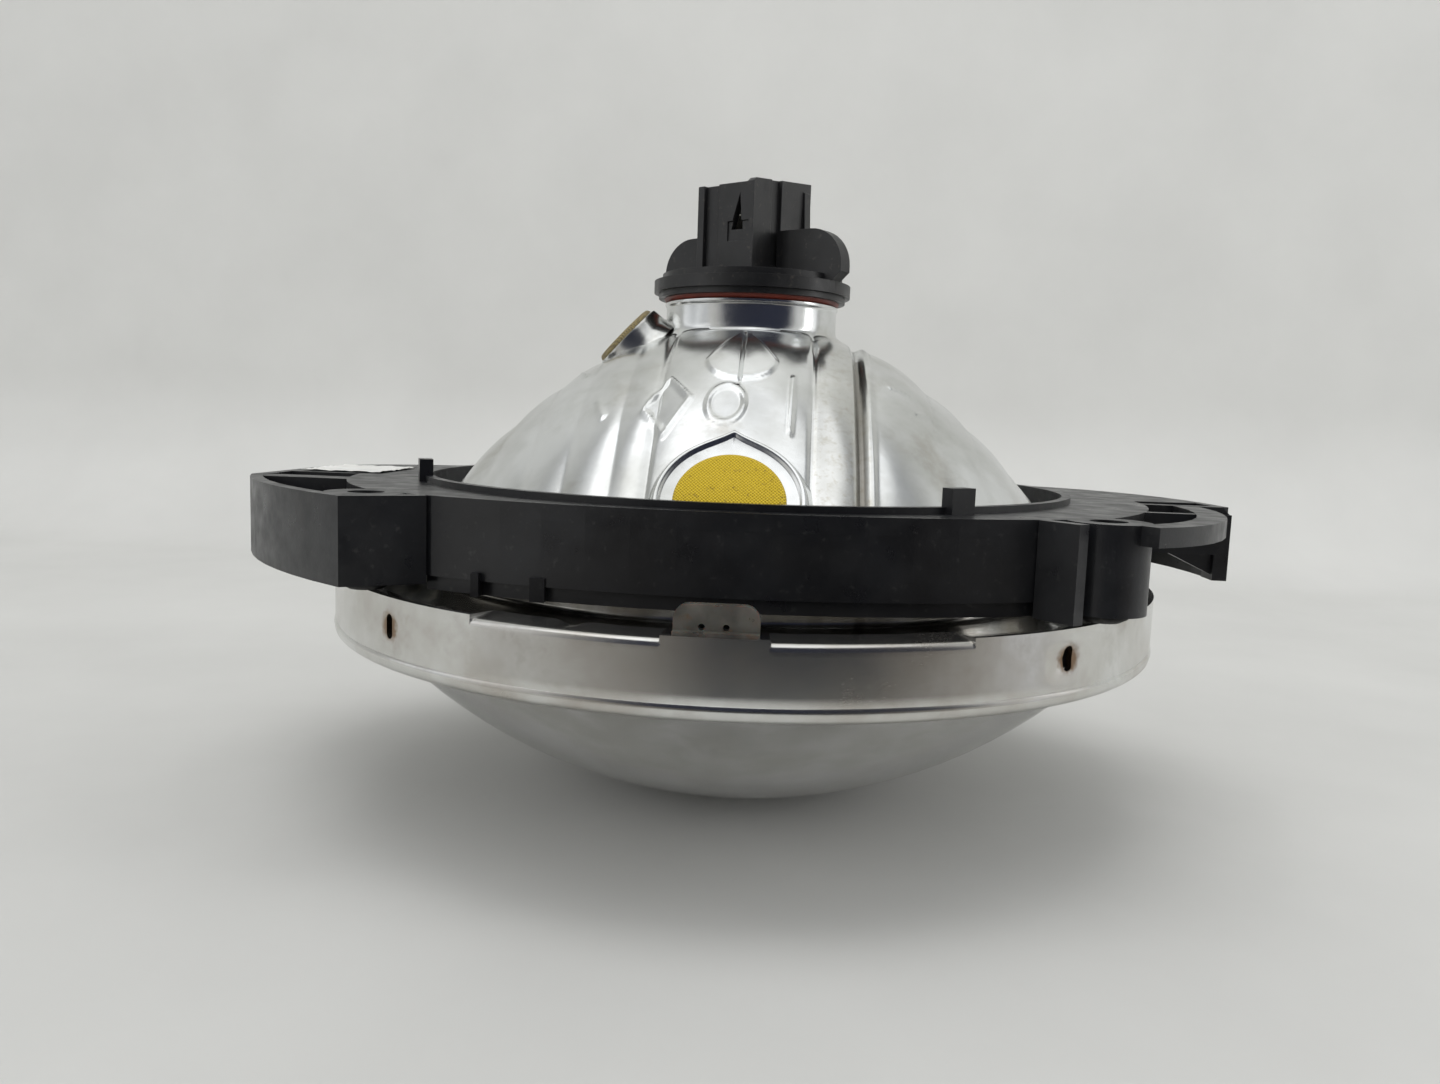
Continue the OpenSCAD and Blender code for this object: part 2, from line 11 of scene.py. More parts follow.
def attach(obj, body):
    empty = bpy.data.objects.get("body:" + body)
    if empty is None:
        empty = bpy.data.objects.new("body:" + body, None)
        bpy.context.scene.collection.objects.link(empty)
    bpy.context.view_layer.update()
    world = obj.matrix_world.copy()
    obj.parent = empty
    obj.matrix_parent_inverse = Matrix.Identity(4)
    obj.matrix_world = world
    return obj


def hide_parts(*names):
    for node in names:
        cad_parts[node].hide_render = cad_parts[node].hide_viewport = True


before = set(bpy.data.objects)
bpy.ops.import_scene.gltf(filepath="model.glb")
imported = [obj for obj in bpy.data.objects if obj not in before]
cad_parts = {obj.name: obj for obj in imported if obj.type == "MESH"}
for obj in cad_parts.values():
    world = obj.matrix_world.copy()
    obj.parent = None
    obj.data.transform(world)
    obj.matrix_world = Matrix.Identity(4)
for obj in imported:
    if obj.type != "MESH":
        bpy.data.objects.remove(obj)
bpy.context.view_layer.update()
MM = 0.001

BEZEL_R, BEZEL_TOP = 58.5, 32.8
SHEET = 0.7
BOWL_APEX, BOWL_4F = 68.2, 71.6
NECK_R = 12.5
RIM_R, FLANGE_Z, SEAL_TOP, BEAD_OUT = 45.0, 31.3, 30.5, 57.3
VENT_C, VENT_LEAN, VENT_R = np.array([0.0, -41.2, 44.9]), math.radians(38), 6.5
REAR_VENT_C, REAR_VENT_R = np.array([-18.0, -2.9, 65.7]), 5.0
REAR_VENT_LEAN, REAR_VENT_TURN = math.radians(47), math.radians(189)
DECK_TOP = 44.4
AIM_Y = 51.0
SLOTS, SLOT_Z, SLOT_HALF_WIDTH, SLOT_HALF_RUN = [math.radians(a) for a in (-131, -49, 90)], 29.4, 0.65, 0.8


# ---- Meshes ----

def smooth(a, b, x):
    """Smoothstep: 0 below a, 1 above b, an S between them."""
    t = np.clip((x - a) / (b - a), 0, 1)
    return t * t * (3 - 2 * t)


def bump(x, half):
    """A rounded ridge: 1 at x = 0, falling as a cosine to 0 at |x| = half."""
    return np.where(np.abs(x) < half, 0.5 + 0.5 * np.cos(math.pi * np.clip(x / half, -1, 1)), 0.0)


def quads(nu, nv, wrap_u=False, wrap_v=False):
    """The faces of a grid of nu by nv points, closed in u or v where asked."""
    i, j = np.meshgrid(np.arange(nu if wrap_u else nu - 1), np.arange(nv if wrap_v else nv - 1), indexing="ij")
    i2, j2 = (i + 1) % nu, (j + 1) % nv
    return np.stack([i * nv + j, i2 * nv + j, i2 * nv + j2, i * nv + j2], -1).reshape(-1, 4)


def linked(name, data):
    """A new object that holds data, linked to the scene."""
    obj = bpy.data.objects.new(name, data)
    bpy.context.scene.collection.objects.link(obj)
    return obj


def grid_piece(name, P, body, material, wrap_u=True, wrap_v=False, flip=False, crease=35, replaces=()):
    """A grid of points P[u, v] in millimetres made into one object that rides on a body."""
    faces = quads(*P.shape[:2], wrap_u, wrap_v)
    if flip:
        faces = faces[:, ::-1]
    return mesh_piece(name, P.reshape(-1, 3), faces.tolist(), body, material, crease, replaces)


def mesh_piece(name, points, faces, body, material, crease, replaces):
    """Points in millimetres and faces made into one object that rides on a body."""
    mesh = bpy.data.meshes.new(name)
    mesh.from_pydata((np.asarray(points, float) * MM).tolist(), [], faces)
    mesh.update()
    return placed(name, mesh, body, material, crease, replaces)


def placed(name, mesh, body, material, crease, replaces):
    """A smooth-shaded object with edges sharp above crease degrees, on its body and for the nodes it replaces."""
    mesh.shade_smooth()
    if crease:
        mesh.set_sharp_from_angle(angle=math.radians(crease))
    mesh.materials.clear()
    mesh.materials.append(material)
    obj = linked(name, mesh)
    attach(obj, body)
    if replaces:
        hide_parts(*replaces)
    return obj


def softened(name, node, body, material, width):
    """A copy of a CAD node with its doubles merged, its flat facets joined and its edges rounded by width."""
    merge_distance, flat_angle, edge_angle = 0.002, math.radians(0.6), math.radians(32)
    bm = bmesh.new()
    bm.from_mesh(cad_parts[node].data)
    bmesh.ops.remove_doubles(bm, verts=bm.verts, dist=merge_distance * MM)
    bmesh.ops.dissolve_limit(bm, angle_limit=flat_angle, verts=bm.verts, edges=bm.edges)
    mesh = bpy.data.meshes.new(name)
    bm.to_mesh(mesh)
    bm.free()
    obj = placed(name, mesh, body, material, 0, (node,))
    bevel = obj.modifiers.new("rounded_edges", "BEVEL")
    bevel.width = width * MM
    bevel.segments = 2
    bevel.limit_method = "ANGLE"
    bevel.angle_limit = edge_angle
    bevel.use_clamp_overlap = True
    obj.modifiers.new("flat_faces", "WEIGHTED_NORMAL").weight = 80


def revolved(profile, az):
    """Profile points (r, z) carried round Z through the angles az: P[az, profile]."""
    profile = np.asarray(profile, float)
    return np.stack([np.cos(az)[:, None] * profile[:, 0], np.sin(az)[:, None] * profile[:, 0],
                     np.broadcast_to(profile[:, 1], (len(az), len(profile)))], -1)


def turned(P, axes, origin):
    """Points given along three axes, moved to their place."""
    return P @ np.asarray(axes) + np.asarray(origin)


def arc_points(c, r, a0, a1, n):
    """n + 1 points of an arc of radius r about c, from a0 to a1 degrees."""
    a = np.radians(np.linspace(a0, a1, n + 1))
    return np.stack([c[0] + r * np.cos(a), c[1] + r * np.sin(a)], -1)


def lofted(rings, name, body, material, replaces):
    """Closed rings of equal length, P[ring, point], joined and capped at both ends."""
    nr, n = rings.shape[:2]
    sides = quads(nr, n, wrap_v=True)[:, [0, 3, 2, 1]]
    faces = sides.tolist() + [list(range(n))[::-1], list(range((nr - 1) * n, nr * n))]
    return mesh_piece(name, rings.reshape(-1, 3), faces, body, material, 0, replaces)


def tube(path, radius, sides, name, body, material, replaces):
    """A round wire of one radius along a path, its section kept square to the path and turned towards one side."""
    T = np.gradient(path, axis=0)
    T /= np.linalg.norm(T, axis=1)[:, None]
    up = np.array([1.0, 0.3, 0.2]) if abs(T[0] @ [1, 0, 0]) < 0.9 else np.array([0.0, 1.0, 0.2])
    N = up - (T @ up)[:, None] * T
    N /= np.linalg.norm(N, axis=1)[:, None]
    B = np.cross(T, N)
    a = np.linspace(0, 2 * math.pi, sides, endpoint=False)
    rings = path[:, None] + radius * (np.cos(a)[None, :, None] * N[:, None] + np.sin(a)[None, :, None] * B[:, None])
    return lofted(rings, name, body, material, replaces)


# ---- Materials ----

def lin(hex_code):
    """An sRGB hex colour as linear RGBA."""
    c = [int(hex_code[k:k + 2], 16) / 255 for k in (1, 3, 5)]
    return (*(v / 12.92 if v <= 0.04045 else ((v + 0.055) / 1.055) ** 2.4 for v in c), 1.0)


def add(tree, kind, inputs=None, **settings):
    """Adds one node: its settings by name, and its inputs by socket with a value or another node's socket."""
    node = tree.nodes.new("ShaderNode" + kind)
    for key, value in settings.items():
        setattr(node, key, value)
    for key, value in (inputs or {}).items():
        if isinstance(value, bpy.types.NodeSocket):
            tree.links.new(value, node.inputs[key])
        else:
            node.inputs[key].default_value = value
    return node


def new_material(name, **principled):
    """A material with one Principled shader whose constant sockets are set here."""
    mat = bpy.data.materials.new(name)
    mat.use_nodes = True
    tree = mat.node_tree
    tree.nodes.clear()
    shader = add(tree, "BsdfPrincipled", {k.replace("_", " "): v for k, v in principled.items()})
    add(tree, "OutputMaterial", {"Surface": shader.outputs[0]})
    coords = add(tree, "TexCoord").outputs["Object"]
    return mat, tree, shader, coords


def parts_of(mat):
    """The node tree, the Principled shader and the object coordinates of a finished material."""
    nodes = {node.type: node for node in mat.node_tree.nodes if node.type in ("BSDF_PRINCIPLED", "TEX_COORD")}
    return mat.node_tree, nodes["BSDF_PRINCIPLED"], nodes["TEX_COORD"].outputs["Object"]


def noise(tree, coords, size_mm, detail, rough=0.55, stretch=None):
    """Noise whose blotches are about size_mm across."""
    if stretch:
        coords = add(tree, "Mapping", {"Vector": coords, "Scale": stretch}).outputs[0]
    inputs = {"Vector": coords, "Scale": 1 / (size_mm * MM), "Detail": detail, "Roughness": rough}
    return add(tree, "TexNoise", inputs).outputs["Fac"]


def ramp(tree, fac, *stops):
    """A colour ramp through (position, hex or grey value) stops."""
    node = add(tree, "ValToRGB", {"Fac": fac})
    elements = node.color_ramp.elements
    while len(elements) < len(stops):
        elements.new(0.5)
    for element, (position, value) in zip(elements, stops):
        element.position = position
        element.color = lin(value) if isinstance(value, str) else (value, value, value, 1)
    return node.outputs["Color"]


def mix(tree, fac, a, b):
    """Two colours mixed by fac. The node's inputs 0, 6 and 7 are its factor and its two colours."""
    node = add(tree, "Mix", data_type="RGBA")
    for index, value in ((0, fac), (6, a), (7, b)):
        if isinstance(value, bpy.types.NodeSocket):
            tree.links.new(value, node.inputs[index])
        else:
            node.inputs[index].default_value = lin(value) if isinstance(value, str) else value
    return node.outputs[2]


def math_node(tree, operation, *values, clamp=False):
    """One sum on sockets and numbers."""
    return add(tree, "Math", dict(enumerate(values)), operation=operation, use_clamp=clamp).outputs[0]


def bumped(tree, shader, height, depth_mm, strength):
    """Feeds a height to the shader as a bump depth_mm deep."""
    node = add(tree, "Bump", {"Height": height, "Distance": depth_mm * MM, "Strength": strength})
    tree.links.new(node.outputs[0], shader.inputs["Normal"])


def link(tree, socket, shader, name):
    """Joins a socket to the shader's input of that name."""
    tree.links.new(socket, shader.inputs[name])


def moulded(name, base, light, rough, grain_mm, dust, dust_share, specular=0.5):
    """Injection-moulded plastic: a fine spark-eroded grain, slow changes of colour and gloss, and specks of dust."""
    mat, tree, shader, co = new_material(name, Metallic=0.0, IOR=1.5, Specular_IOR_Level=specular)
    slow = noise(tree, co, 9, 5)
    fine = noise(tree, co, 0.9, 3)
    body = ramp(tree, slow, (0.35, base), (0.72, light))
    specks = ramp(tree, fine, (0.62, 0.0), (0.78, 1.0))
    share = math_node(tree, "MULTIPLY", specks, dust_share)
    link(tree, mix(tree, share, body, dust), shader, "Base Color")
    gloss = ramp(tree, noise(tree, co, 3.5, 6), (0.3, max(rough - 0.1, 0.05)), (0.7, rough + 0.12))
    link(tree, gloss, shader, "Roughness")
    bumped(tree, shader, noise(tree, co, grain_mm, 2), 0.02, 0.5)
    return mat


def metal(name, colour, dark, rough, smudge_mm, grain=None, grime=None, grime_share=0.5, bump_mm=0.004):
    """Sheet or turned metal: slow smudges between two colours and the two values of rough, fine scratches that run
    along the directions that grain stretches least, and patches of grime."""
    mat, tree, shader, co = new_material(name, Metallic=1.0)
    slow = noise(tree, co, smudge_mm, 5, 0.6)
    colour_out = ramp(tree, slow, (0.3, dark), (0.62, colour))
    if grime:
        patches = ramp(tree, noise(tree, co, smudge_mm * 0.8, 8, 0.7), (0.54, 0.0), (0.7, 1.0))
        colour_out = mix(tree, math_node(tree, "MULTIPLY", patches, grime_share), colour_out, grime)
    link(tree, colour_out, shader, "Base Color")
    fine = noise(tree, co, 0.5, 3, stretch=grain)
    smudges = ramp(tree, slow, (0.3, rough[1]), (0.7, rough[0]))
    link(tree, math_node(tree, "ADD", smudges, math_node(tree, "MULTIPLY", fine, 0.08)), shader, "Roughness")
    bumped(tree, shader, fine, bump_mm, 0.6)
    return mat


# Vacuum-metallised pressed steel: a mirror with slow smudges and brown dust
metallised = metal("vacuum_metallised_steel", "#e6e8e8", "#c4c5c1", (0.10, 0.22), 14, None, "#8d8168", 0.35, 0.006)


def band(tree, value, middle, half, soft):
    """1 where value lies within half of middle, falling to 0 over soft, all in millimetres."""
    off = math_node(tree, "ABSOLUTE", math_node(tree, "SUBTRACT", value, middle * MM))
    past = math_node(tree, "DIVIDE", math_node(tree, "SUBTRACT", off, half * MM), soft * MM)
    return math_node(tree, "SUBTRACT", 1.0, past, clamp=True)


def settled_dirt_and_shade(mat):
    """Brown dust on the reflector: on one flute and its rib at the front. In the gap under the carrier's deck, a darker
    grey-beige band is part dirt and part painted shade.
    """
    tree, shader, co = parts_of(mat)
    clean = shader.inputs["Base Color"].links[0].from_socket
    axes = add(tree, "SeparateXYZ", {"Vector": co}).outputs
    flute = band(tree, axes["X"], 12.8, 3.2, 0.6)
    specks = ramp(tree, noise(tree, co, 1.1, 6, 0.75), (0.5, 0.25), (0.66, 1.0))
    rib = band(tree, axes["X"], 15.2, 0.35, 0.4)
    front = math_node(tree, "LESS_THAN", axes["Y"], -12 * MM)
    along = math_node(tree, "MULTIPLY", math_node(tree, "MULTIPLY", flute, specks),
                      math_node(tree, "MULTIPLY", front, 0.45))
    colour = mix(tree, along, clean, "#a39a82")
    colour = mix(tree, math_node(tree, "MULTIPLY", math_node(tree, "MULTIPLY", rib, front), 0.7), colour, "#4b4334")
    low = ramp(tree, noise(tree, co, 6, 6, 0.7), (0.35, 0.3), (0.6, 0.8))
    # Part dirt, part painted shade: the reflector is darkened to grey-beige at the heights of the gap under the
    # carrier's deck.
    gap = math_node(tree, "MULTIPLY", band(tree, axes["Z"], 34.5, 3.6, 2.0), low)
    link(tree, mix(tree, gap, colour, "#8a8274"), shader, "Base Color")


settled_dirt_and_shade(metallised)
# Polished stainless strip: fine scratches that run round the lamp, with brown hand smudges
stainless = metal("polished_stainless_steel", "#dedfdd", "#b9b4ac", (0.12, 0.24), 16, (1, 1, 9), "#7d6f5d", 0.3, 0.003)


def slot_rust(mat):
    """Tan rust that has crept out of the drain slots: a rough brown halo round each of them, full to 1.2 from the
    slot's middle and gone at 2.0, give or take a ragged 0.8."""
    tree, shader, co = parts_of(mat)
    ragged = math_node(tree, "MULTIPLY_ADD", noise(tree, co, 0.8, 5, 0.7), 1.6 * MM, -0.8 * MM)
    halo = 0.0
    for slot in SLOTS:
        place = (BEZEL_R * MM * math.cos(slot), BEZEL_R * MM * math.sin(slot), SLOT_Z * MM)
        off = add(tree, "VectorMath", {0: co, 1: place}, operation="DISTANCE").outputs["Value"]
        past = math_node(tree, "SUBTRACT", math_node(tree, "ADD", off, ragged), 1.2 * MM)
        near = math_node(tree, "SUBTRACT", 1.0, math_node(tree, "DIVIDE", past, 0.8 * MM), clamp=True)
        halo = math_node(tree, "MAXIMUM", halo, near)
    for name, value in (("Base Color", "#7a5a36"), ("Roughness", "#8c8c8c")):
        share = math_node(tree, "MULTIPLY", halo, 0.85)
        link(tree, mix(tree, share, shader.inputs[name].links[0].from_socket, value), shader, name)


slot_rust(stainless)
galvanised = metal("galvanised_steel", "#b4b8ba", "#8f9497", (0.28, 0.45), 5)
plated = metal("zinc_plated_screw_steel", "#c9c6ba", "#a39c86", (0.2, 0.35), 4)
tinned = metal("tinned_brass", "#d6d3cb", "#b3ae9f", (0.2, 0.34), 4)
nickel = metal("nickel_plated_sleeve", "#cfccc4", "#aaa69c", (0.14, 0.26), 6)
tungsten = metal("drawn_tungsten_wire", "#6d6b68", "#4b4a49", (0.3, 0.45), 1)
# Moulded plastics and rubber: satin, slightly dusty
black_moulding = moulded("satin_black_polyamide", "#111113", "#1b1c1f", 0.36, 0.35, "#5d5c58", 0.16)
grey_socket = moulded("charcoal_polyamide", "#151516", "#222223", 0.42, 0.3, "#6a6257", 0.28)
rubber = moulded("black_rubber", "#121212", "#1c1b1a", 0.62, 0.5, "#57544e", 0.3, 0.3)
natural_nylon = moulded("natural_nylon", "#d9d3c2", "#e9e4d6", 0.4, 0.4, "#9a917c", 0.2)


def woven(name, light, dark, fleck, pitch_mm, axes):
    """Woven vent cloth: two crossed sets of threads pitch_mm apart, over and under, with brown flecks."""
    mat, tree, shader, co = new_material(name, Roughness=0.8, Metallic=0.0, Sheen_Weight=0.15)
    x, y = (add(tree, "VectorMath", {0: co, 1: tuple(a)}, operation="DOT_PRODUCT").outputs["Value"] for a in axes)
    k = 2 * math.pi / (pitch_mm * MM)
    warp, weft = (math_node(tree, "SINE", math_node(tree, "MULTIPLY", v, k)) for v in (x, y))
    height = math_node(tree, "MULTIPLY", warp, weft)
    cloth = ramp(tree, math_node(tree, "MULTIPLY_ADD", height, 0.5, 0.5), (0.1, dark), (0.7, light))
    flecks = ramp(tree, noise(tree, co, 0.9, 3, 0.7), (0.60, 0.0), (0.68, 1.0))
    link(tree, mix(tree, math_node(tree, "MULTIPLY", flecks, 0.6), cloth, fleck), shader, "Base Color")
    bumped(tree, shader, height, 0.08, 0.8)
    return mat


def vent_axes(lean, turn):
    """Right, up and outward axes of a vent disc that leans outward by lean from Z and faces the angle turn."""
    n = np.array([math.sin(lean) * math.cos(turn), math.sin(lean) * math.sin(turn), math.cos(lean)])
    right = np.array([-math.sin(turn), math.cos(turn), 0.0])
    return np.array([right, np.cross(n, right), n])


FRONT_AXES = vent_axes(math.pi / 2 - VENT_LEAN, -math.pi / 2)
REAR_AXES = vent_axes(REAR_VENT_LEAN, REAR_VENT_TURN)
mustard_cloth = woven("mustard_vent_cloth", "#d8ba16", "#b3950c", "#6a4f16", 0.42, FRONT_AXES[:2])
# The rear vent has the front's mustard cloth, painted darker in khaki colours: painted shade, for its place on the back
# slope turned away from the light.
shaded_mustard_cloth = woven("shaded_mustard_vent_cloth", "#96875a", "#6b604a", "#4a4132", 0.42, REAR_AXES[:2])


def clear_glass(name, tint, rough, weight=1.0):
    """Pressed or drawn clear glass, smooth, with a faint tint and a film of dust. Where weight is below 1, the rest of
    the light goes to a diffuse white share: painted light that brightens the glass.
    """
    mat, tree, shader, co = new_material(name, Transmission_Weight=weight, IOR=1.5)
    film = noise(tree, co, 7, 6, 0.65)
    link(tree, ramp(tree, film, (0.4, tint), (0.75, "#ffffff")), shader, "Base Color")
    link(tree, ramp(tree, film, (0.45, rough), (0.75, rough + 0.1)), shader, "Roughness")
    return mat


# The lens's diffuse share of 0.2 is painted light: it brightens the glass in place of the light that would come back
# out from inside the lamp.
lens_glass = clear_glass("pressed_lens_glass", "#dcdbd6", 0.09, 0.8)
quartz = clear_glass("quartz_tube_glass", "#eef1f2", 0.02)


def plain_finish(name, light, dark, rough, patch_mm, **principled):
    """A plain finish with slow patches of light and dark and a fine grain."""
    mat, tree, shader, co = new_material(name, **principled)
    link(tree, ramp(tree, noise(tree, co, patch_mm, 5), (0.3, dark), (0.7, light)), shader, "Base Color")
    gloss = ramp(tree, noise(tree, co, patch_mm * 0.6, 4), (0.3, rough - 0.06), (0.7, rough + 0.08))
    link(tree, gloss, shader, "Roughness")
    bumped(tree, shader, noise(tree, co, 0.4, 2), 0.01, 0.5)
    return mat


silicone = plain_finish("orange_silicone", "#7c2d1b", "#5c2114", 0.45, 5)
label_film = plain_finish("white_label_film", "#f1f1ee", "#d9d9d4", 0.35, 4)
bulb_paint = plain_finish("black_bulb_paint", "#1b1b1c", "#101011", 0.4, 2)


def clip_finish():
    """Natural nylon moulding, translucent, grey with dirt and stained brown in spots."""
    mat, tree, shader, co = new_material("translucent_nylon_clip", IOR=1.53, Transmission_Weight=0.35,
                                         Subsurface_Weight=0.25, Subsurface_Scale=0.002)
    body = ramp(tree, noise(tree, co, 3, 5), (0.3, "#45433f"), (0.7, "#77746c"))
    stains = ramp(tree, noise(tree, co, 1.2, 4), (0.58, 0.0), (0.72, 1.0))
    link(tree, mix(tree, math_node(tree, "MULTIPLY", stains, 0.6), body, "#6b4a2c"), shader, "Base Color")
    link(tree, ramp(tree, noise(tree, co, 2, 3), (0.3, 0.25), (0.7, 0.42)), shader, "Roughness")
    return mat


nylon_clip = clip_finish()

# ---- Reflector ----

CRIMPS, CRIMP_FROM, CRIMP_TO = [math.radians(-90 + 120 * i) for i in range(3)], math.radians(5.5), math.radians(27)


def wrapped(a):
    """An angle brought between -pi and pi."""
    return (a + math.pi) % (2 * math.pi) - math.pi


def crimp_share(az):
    """1 in the sectors to either side of each clip, where the bezel is crimped over the bead, else 0."""
    off = np.min([np.abs(wrapped(az - c)) for c in CRIMPS], axis=0)
    return ((off > CRIMP_FROM) & (off < CRIMP_TO)).astype(float)


FLUTE_X = np.array([-39.5, -33.0, -26.5, -20.5, -14.4, -10.0, 9.2, 15.1, 25.6, 31.7, 37.5])
RIB_X = 15.1
MARK_HEIGHT = 0.32
BAR = (6.6, -24.4, 6.4, -32.8)
RING_C, RING_R = (-1.4, -30.0), 2.2
DIAMOND = [(-8.9, -24.2), (-5.9, -28.6), (-8.7, -33.0), (-11.7, -28.6)]
SCUFFS = ((-23.2, -9.0, -22.0, -12.5), (-18.2, -24.0, -16.9, -27.4), (19.0, -18.2, 21.6, -17.4),
          (22.4, -20.6, 24.6, -18.4))


def stroke(x, y, ax, ay, bx, by, half):
    """A raised stroke from a to b: 1 along its middle, rounded to 0 at half its width."""
    d = np.array([bx - ax, by - ay])
    t = np.clip(((x - ax) * d[0] + (y - ay) * d[1]) / (d @ d), 0, 1)
    return bump(np.hypot(x - ax - t * d[0], y - ay - t * d[1]), half)


def bowl_relief(x, y):
    """Height of the bowl's relief over its smooth paraboloid, in mm, from the plan position:
    flutes that run front to back, a drop with a seam, plain raised marks, and the step at a deep rib."""
    k = np.clip(np.searchsorted(FLUTE_X, x.ravel()) - 1, 0, len(FLUTE_X) - 2).reshape(x.shape)
    width = FLUTE_X[k + 1] - FLUTE_X[k]
    u = np.clip((x - FLUTE_X[k]) / width, 0, 1)
    h = np.minimum(0.034 * width ** 1.25, 0.8) * (1 - (2 * u - 1) ** 2)
    h = np.where((x > FLUTE_X[0]) & (x < FLUTE_X[-1]), h, 0)
    h -= 0.45 * bump(x - RIB_X, 1.0) - 0.3 * bump(x - RIB_X - 1.2, 0.8)
    for edge in (-10.0, 9.2):
        h -= 0.2 * bump(x - edge, 0.7)
    front = smooth(-8, -12, y)
    # the drop: a low dome with a point towards the neck, and a seam down its middle; d is the distance outside its edge
    yc, tip, far = y + 21.8, 6.4, 5.0
    reach = 4.3 - 0.55 * np.clip(yc, 0, 6.5)
    d = np.hypot(x, np.where(yc > 0, yc * 0.05, yc)) - np.maximum(reach, 0.0)
    d = np.where(yc > tip, far, d)
    h += front * (0.28 * smooth(0.35, -0.35, d) + 0.15 * bump(d, 0.4))
    h -= front * 0.3 * bump(x, 0.35) * smooth(-27, -26, y) * smooth(-14, -15, y)
    # plain raised marks: a bar, a diamond and a ring drawn long up the slope
    marks = stroke(x, y, *BAR, 0.6)
    for a, b in zip(DIAMOND, DIAMOND[1:] + DIAMOND[:1]):
        marks = np.maximum(marks, stroke(x, y, *a, *b, 0.55))
    ring = bump(np.hypot(x - RING_C[0], (y - RING_C[1]) * 0.82) - RING_R, 0.55)
    h += MARK_HEIGHT * np.maximum(marks, ring)
    for ends in SCUFFS:
        h += 0.25 * stroke(x, y, *ends, 0.55)
    return h


def seat_reach(phi):
    """Radius of the front vent's seat at the angle phi from its top, where it runs out to a point."""
    return 8.3 + 1.4 * np.exp(-np.abs(phi) / 0.2)


def front_seat(P):
    """The move that presses the bowl flat a little below the front vent, in the vent's own plane."""
    q = (P - VENT_C) @ FRONT_AXES.T
    rho, height, depth = np.hypot(q[..., 0], q[..., 1]), q[..., 2], 0.5
    edge = seat_reach(np.arctan2(q[..., 0], q[..., 1]))
    lift = -(height + depth) * smooth(edge + 0.9, edge - 0.2, rho)
    return np.where((height > -9) & (height < 6), lift, 0)[..., None] * FRONT_AXES[2]


def front_seat_ring():
    """The vent's raised seat as a ring of its own: a flat land and a rounded crest at seat_reach from the middle, with
    a skirt that runs down into the bowl. The profile's two inner points lie under the cloth's edge all round."""
    profile = np.array([[0, -2.4], [0, -0.03], [-0.45, -0.03], [-0.3, 0.02], [-0.15, 0.22], [0.1, 0.34], [0.35, 0.3],
                        [0.55, 0.08], [0.75, -0.4], [1.1, -1.1], [1.7, -1.9], [1.7, -2.4]])
    az = np.linspace(-math.pi, math.pi, 240, endpoint=False)
    rho = seat_reach(az)[:, None] + profile[:, 0]
    rho[:, :2] = VENT_R - 0.2
    local = np.stack([rho * np.sin(az)[:, None], rho * np.cos(az)[:, None],
                      np.broadcast_to(profile[:, 1], rho.shape)], -1)
    grid_piece("front_seat_ring", turned(local, FRONT_AXES, VENT_C), "lamp", metallised,
               wrap_v=True, crease=50)


def reflector_shell():
    """The pressed reflector as one closed shell: a profile down the outside and back up the inside, carried round Z.
    The outside of the bowl is z = apex - r^2 / 4f, lifted along its normal by bowl_relief; the inside stays smooth."""
    front = np.radians(np.linspace(-180, 0, 500, endpoint=False))
    rear = np.radians(np.linspace(0, 180, 110, endpoint=False))
    az = np.concatenate([front, rear])
    lip = np.array([[11.7, 70.45], [11.8, 70.7], [12.1, 70.8], [12.5, 70.8], [12.67, 70.72], [12.72, 70.5],
                    [12.66, 70.3], [12.53, 70.15]])
    neck = np.array([[NECK_R, 69.9], [NECK_R, 69.0], [NECK_R, 68.0], [NECK_R, 67.5]])
    foot = np.array([[12.56, 66.9], [12.75, 66.45], [13.1, 66.05]])
    r = np.linspace(13.6, 44.3, 86)
    bowl = np.stack([r, BOWL_APEX - r * r / BOWL_4F], -1)
    skirt = np.concatenate([arc_points((44.2, 39.25), 0.8, 48, 0, 4), [[RIM_R, 36], [RIM_R, 33]],
                            arc_points((45.8, 32.1), 0.8, 180, 270, 4)])
    bead = np.concatenate([[[50, FLANGE_Z], [53.6, FLANGE_Z]], arc_points((54.6, 31.6), 0.4, 180, 90, 3),
                           arc_points((56.9, 31.6), 0.4, 90, 0, 4),
                           [[BEAD_OUT, 30.9], [57.0, SEAL_TOP], [50, SEAL_TOP], [RIM_R, SEAL_TOP], [44.2, 31.0]]])
    ri = np.linspace(44.1, 11.75, 18)
    inner = np.stack([ri, BOWL_APEX - ri * ri / BOWL_4F - 1.0], -1)
    profile = np.concatenate([lip, neck, foot, bowl, skirt, bead, [[44.2, 36.5]], inner, [[11.7, 68.0]]])
    P = revolved(profile, az)
    # the bead's top, lower where the crimp presses on it
    r_all = np.hypot(P[..., 0], P[..., 1])
    on_bead = (r_all > 54.5) & (P[..., 2] > FLANGE_Z - 0.05)
    P[..., 2] -= np.where(on_bead, crimp_share(az)[:, None] * 0.6 * smooth(54.8, 57.0, r_all), 0)
    # the bowl, from the neck's foot to the start of the skirt
    start = len(lip) + len(neck)
    part = P[:, start:start + len(foot) + len(bowl) + 2]
    rr = np.hypot(part[..., 0], part[..., 1])
    slope = 2 * rr / BOWL_4F
    n = np.stack([part[..., 0] / rr * slope, part[..., 1] / rr * slope, np.ones_like(rr)], -1)
    n /= np.linalg.norm(n, axis=-1)[..., None]
    fade = smooth(12.5, 13.6, rr) * smooth(45.0, 43.6, rr)
    part += n * (bowl_relief(part[..., 0], part[..., 1]) * fade)[..., None]
    part += front_seat(part) * smooth(45.0, 44.2, rr)[..., None]
    grid_piece("reflector_shell", P, "lamp", metallised, wrap_v=True, flip=True, crease=40,
               replaces=("reflector",))


reflector_shell()
front_seat_ring()


